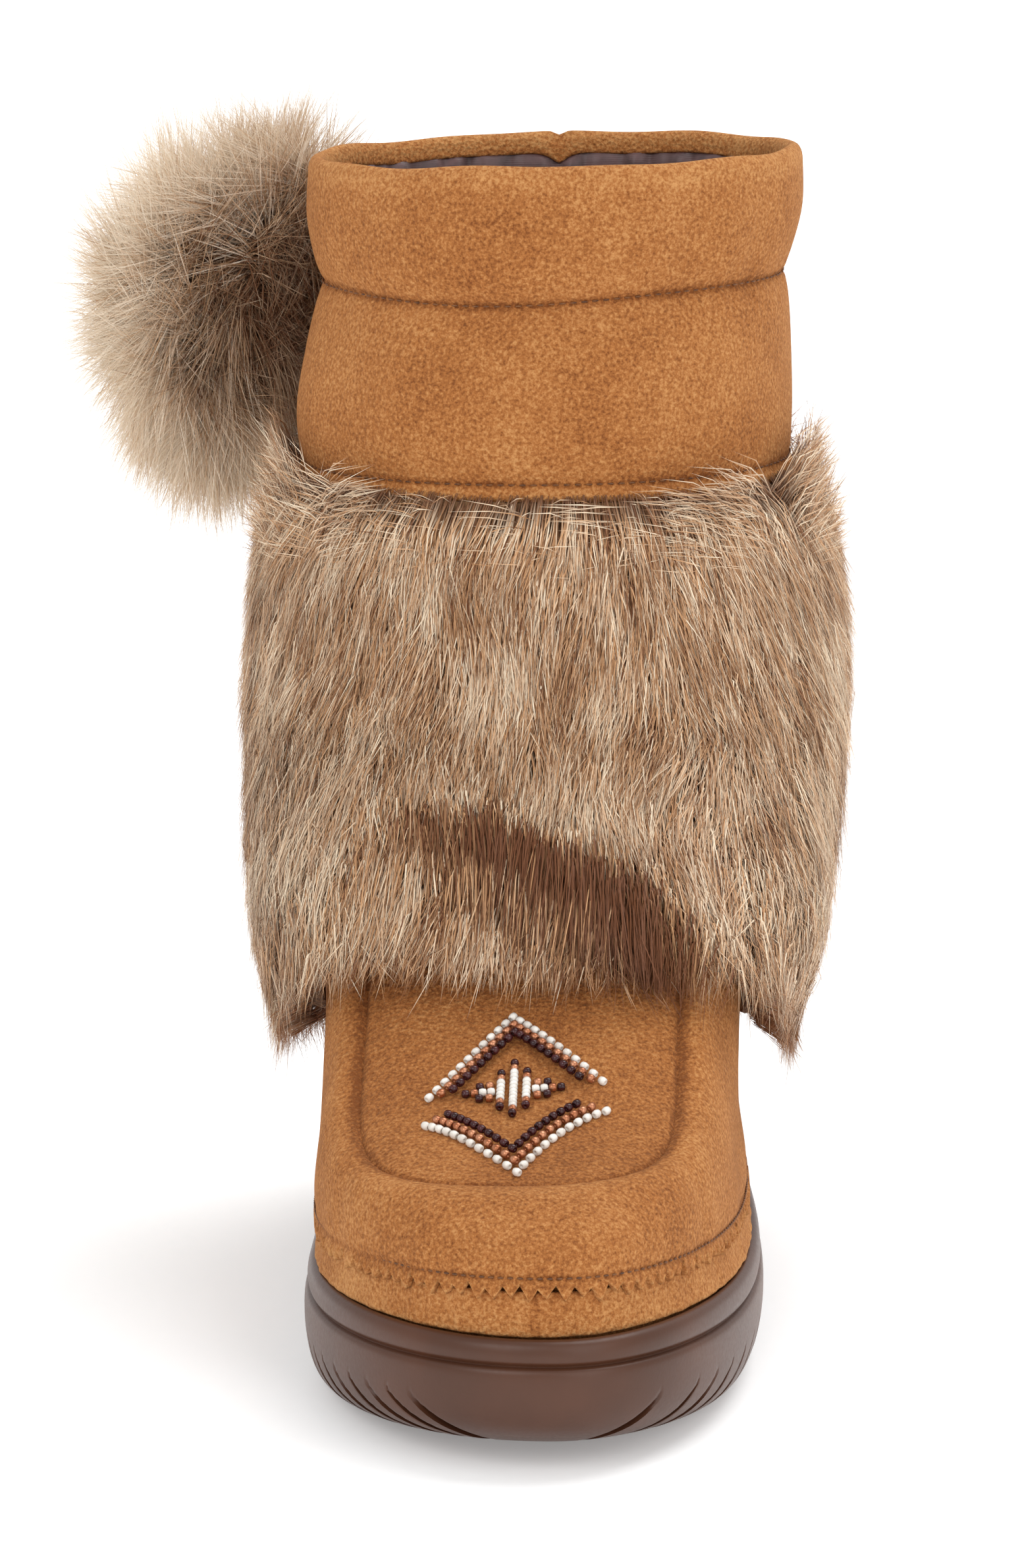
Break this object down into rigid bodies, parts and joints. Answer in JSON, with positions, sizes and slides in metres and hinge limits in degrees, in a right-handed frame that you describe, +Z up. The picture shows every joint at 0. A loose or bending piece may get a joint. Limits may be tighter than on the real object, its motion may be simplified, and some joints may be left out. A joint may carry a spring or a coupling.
{
  "type": "mukluk boot",
  "caption": "Suede moccasin boot for a right foot, with a fur cuff, a beaded apron, a fur pompom and a moulded rubber cup sole.",
  "frame": {"origin": "on the floor under the middle of the heel, on the flat heel part of the tread", "axes": "+Z up, the toe points along -Y, +X towards the boot's inner (medial) side"},
  "size_m": [0.1983, 0.2963, 0.272],
  "materials": {
    "suede": "tan suede with a short nap",
    "rubber": "satin dark brown moulded rubber",
    "foam": "brown cloth over foam",
    "fur": "long mottled beige and brown pile",
    "beads": "pearl, copper and dark brown glass seed beads"
  },
  "bodies": {
    "root": {"upper": "suede", "outsole": "rubber", "insole": "foam", "rand": "suede", "apron": "suede", "vamp": "suede", "fur_cuff": "fur", "pompom": "fur", "bead_chevron_upper": "beads", "bead_chevron_lower": "beads", "bead_star": "beads"}
  },
  "joints": []
}
